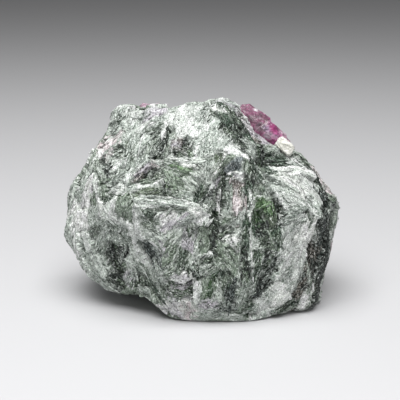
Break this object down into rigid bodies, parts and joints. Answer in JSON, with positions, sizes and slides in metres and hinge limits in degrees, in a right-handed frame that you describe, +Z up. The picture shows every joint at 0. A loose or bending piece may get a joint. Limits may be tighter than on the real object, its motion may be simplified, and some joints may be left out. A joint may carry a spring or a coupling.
{
  "type": "ruby in matrix",
  "caption": "Hand-sized rough block of green fibrous mica rock with magenta ruby crystals and a cream feldspar grain set in its top.",
  "frame": {"origin": "under the middle of the specimen's box, on the surface that it rests on", "axes": "+X to the right along the block's length, as seen from its broad front face; +Y to its back; +Z up"},
  "size_m": [0.0766, 0.0514, 0.0558],
  "materials": {
    "matrix": "rough, fibrous, with a silky mica sheen",
    "ruby": "opaque to translucent, glassy on its flat faces",
    "feldspar": "dull, slightly waxy"
  },
  "bodies": {
    "root": {"matrix": "matrix", "shoulder_ruby": "ruby", "crest_ruby": "ruby", "feldspar_grain": "feldspar"}
  },
  "joints": []
}
